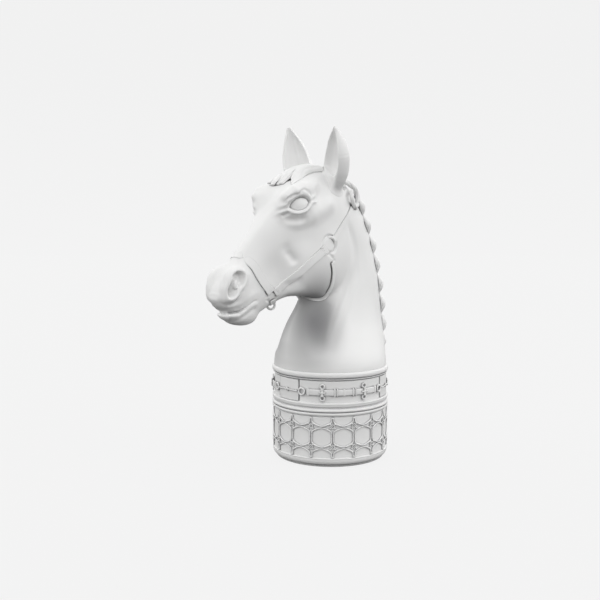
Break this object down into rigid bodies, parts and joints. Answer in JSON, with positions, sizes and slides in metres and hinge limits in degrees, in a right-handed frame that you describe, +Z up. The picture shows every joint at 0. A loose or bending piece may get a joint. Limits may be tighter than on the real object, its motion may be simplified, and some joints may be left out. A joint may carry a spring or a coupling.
{
  "type": "garden chess knight",
  "caption": "Large chess knight: a horse's head in a halter that lifts and turns on a straight hollow drum with a net of bits in relief.",
  "frame": {"origin": "centre of the underside of the base pad, on the drum's axis", "axes": "+Z up along the drum's axis; the horse looks along -Y; +X is the horse's left"},
  "size_m": [0.16, 0.2952, 0.4499],
  "materials": {
    "white_ceramic": "matte unglazed white, very fine grain",
    "pad_rubber": "matte grey rubber",
    "seal_rubber": "matte translucent-white rubber",
    "ballast_iron": "rough cast, unpainted"
  },
  "bodies": {
    "drum": {"drum_shell": "white_ceramic", "base_pad": "pad_rubber", "ballast_disc": "ballast_iron", "net_lower_row": "white_ceramic", "net_upper_row": "white_ceramic"},
    "seal": {"seal_ring": "seal_rubber"},
    "head": {"belt_link_1": "white_ceramic", "belt_link_2": "white_ceramic", "belt_link_3": "white_ceramic", "belt_ring_1a": "white_ceramic", "belt_ring_1b": "white_ceramic", "belt_ring_2a": "white_ceramic", "belt_ring_2b": "white_ceramic", "belt_ring_3a": "white_ceramic", "belt_ring_3b": "white_ceramic", "belt_strap_1": "white_ceramic", "belt_strap_2": "white_ceramic", "belt_strap_3": "white_ceramic", "belt_tab_1": "white_ceramic", "belt_tab_2": "white_ceramic", "belt_tab_3": "white_ceramic", "bit_cross_1a": "white_ceramic", "bit_cross_1b": "white_ceramic", "bit_cross_2a": "white_ceramic", "bit_cross_2b": "white_ceramic", "bit_cross_3a": "white_ceramic", "bit_cross_3b": "white_ceramic", "cheek_ring_left": "white_ceramic", "cheek_ring_right": "white_ceramic", "cheek_strap_left": "white_ceramic", "cheek_strap_right": "white_ceramic", "chin_ring": "white_ceramic", "chin_strap": "white_ceramic", "collar_band": "white_ceramic", "crown_strap": "white_ceramic", "ear_left": "white_ceramic", "ear_right": "white_ceramic", "eye_left": "white_ceramic", "eye_right": "white_ceramic", "forelock_left": "white_ceramic", "forelock_right": "white_ceramic", "mane_lock_1": "white_ceramic", "mane_lock_2": "white_ceramic", "mane_lock_3": "white_ceramic", "mane_lock_4": "white_ceramic", "mane_lock_5": "white_ceramic", "mane_lock_6": "white_ceramic", "mane_lock_7": "white_ceramic", "mane_lock_8": "white_ceramic", "neck_and_head": "white_ceramic", "nose_ring_left": "white_ceramic", "nose_ring_right": "white_ceramic", "noseband": "white_ceramic", "throat_snap_left": "white_ceramic", "throat_snap_right": "white_ceramic", "throat_strap": "white_ceramic"}
  },
  "joints": [
    {"name": "head_turn", "type": "hinge", "parent": "drum", "child": "seal", "pos_m": [0, 0, 0.0727], "axis": [0, 0, 1], "continuous": true},
    {"name": "head_lift", "type": "slide", "parent": "seal", "child": "head", "axis": [0, 0, 1], "range_m": [0, 0.1]}
  ]
}
